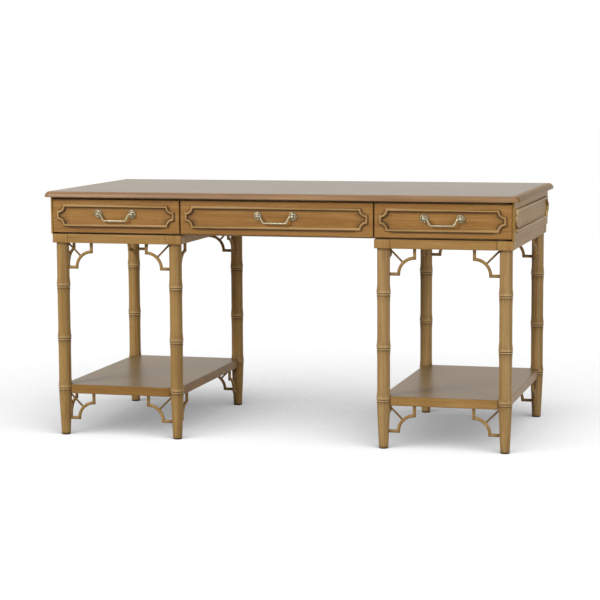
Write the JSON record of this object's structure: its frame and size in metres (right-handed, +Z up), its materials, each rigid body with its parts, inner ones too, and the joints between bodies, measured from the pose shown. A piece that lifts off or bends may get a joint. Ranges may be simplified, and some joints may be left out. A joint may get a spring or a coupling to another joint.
{
  "type": "pedestal desk",
  "caption": "Writing desk in the faux bamboo style: a wide moulded top over a row of drawers with bail pulls, carried by open pedestals with turned legs, fret brackets and low shelves.",
  "frame": {"origin": "on the floor under the middle of the top", "axes": "+X along the width to the sitter's right hand, +Y from the drawer fronts to the back, +Z up"},
  "size_m": [1.524, 0.762, 0.787],
  "materials": {
    "top_wood": "satin lacquer",
    "case_wood": "satin lacquer over fine grain",
    "leg_wood": "satin lacquer, darker in the joints",
    "moulding_wood": "satin lacquer, rubbed pale on the crown",
    "inner_wood": "plain sealed",
    "pull_brass": "soft brushed, pale"
  },
  "bodies": {
    "desk": {"case_back": "case_wood", "case_divider_left": "inner_wood", "case_divider_right": "inner_wood", "case_side_left": "case_wood", "case_side_right": "case_wood", "case_top_rail_back": "inner_wood", "case_top_rail_front": "inner_wood", "corner_blocks_left": "inner_wood", "corner_blocks_right": "inner_wood", "desk_top": "top_wood", "drawer_runners": "inner_wood", "dust_panels": "inner_wood", "fret_brackets_lower": "leg_wood", "fret_brackets_upper": "leg_wood", "leg_left_back_inner": "leg_wood", "leg_left_back_outer": "leg_wood", "leg_left_front_inner": "leg_wood", "leg_left_front_outer": "leg_wood", "leg_right_back_inner": "leg_wood", "leg_right_back_outer": "leg_wood", "leg_right_front_inner": "leg_wood", "leg_right_front_outer": "leg_wood", "rail_left_back": "case_wood", "rail_left_front": "case_wood", "rail_right_back": "case_wood", "rail_right_front": "case_wood", "shelf_left": "top_wood", "shelf_right": "top_wood", "side_moulding_left": "moulding_wood", "side_moulding_right": "moulding_wood", "side_rails_left": "case_wood", "side_rails_right": "case_wood", "top_edge_moulding": "top_wood"},
    "drawer_centre": {"drawer_back_centre": "inner_wood", "drawer_bottom_centre": "inner_wood", "drawer_front_centre": "case_wood", "drawer_moulding_centre": "moulding_wood", "drawer_sides_centre": "inner_wood", "pull_posts_centre": "pull_brass", "pull_rosettes_centre": "pull_brass"},
    "drawer_left": {"drawer_back_left": "inner_wood", "drawer_bottom_left": "inner_wood", "drawer_front_left": "case_wood", "drawer_moulding_left": "moulding_wood", "drawer_sides_left": "inner_wood", "pull_posts_left": "pull_brass", "pull_rosettes_left": "pull_brass"},
    "drawer_right": {"drawer_back_right": "inner_wood", "drawer_bottom_right": "inner_wood", "drawer_front_right": "case_wood", "drawer_moulding_right": "moulding_wood", "drawer_sides_right": "inner_wood", "pull_posts_right": "pull_brass", "pull_rosettes_right": "pull_brass"},
    "bail_centre": {"pull_bail_centre": "pull_brass"},
    "bail_left": {"pull_bail_left": "pull_brass"},
    "bail_right": {"pull_bail_right": "pull_brass"}
  },
  "joints": [
    {"name": "drawer_left_slide", "type": "slide", "parent": "desk", "child": "drawer_left", "axis": [0, -1, 0], "range_m": [0, 0.4]},
    {"name": "drawer_centre_slide", "type": "slide", "parent": "desk", "child": "drawer_centre", "axis": [0, -1, 0], "range_m": [0, 0.4]},
    {"name": "drawer_right_slide", "type": "slide", "parent": "desk", "child": "drawer_right", "axis": [0, -1, 0], "range_m": [0, 0.4]},
    {"name": "bail_left_swing", "type": "hinge", "parent": "drawer_left", "child": "bail_left", "pos_m": [-0.5246, -0.374, 0.7176], "axis": [-1, 0, 0], "range_deg": [0, 90]},
    {"name": "bail_centre_swing", "type": "hinge", "parent": "drawer_centre", "child": "bail_centre", "pos_m": [0, -0.374, 0.7176], "axis": [-1, 0, 0], "range_deg": [0, 90]},
    {"name": "bail_right_swing", "type": "hinge", "parent": "drawer_right", "child": "bail_right", "pos_m": [0.5246, -0.374, 0.7176], "axis": [-1, 0, 0], "range_deg": [0, 90]}
  ]
}
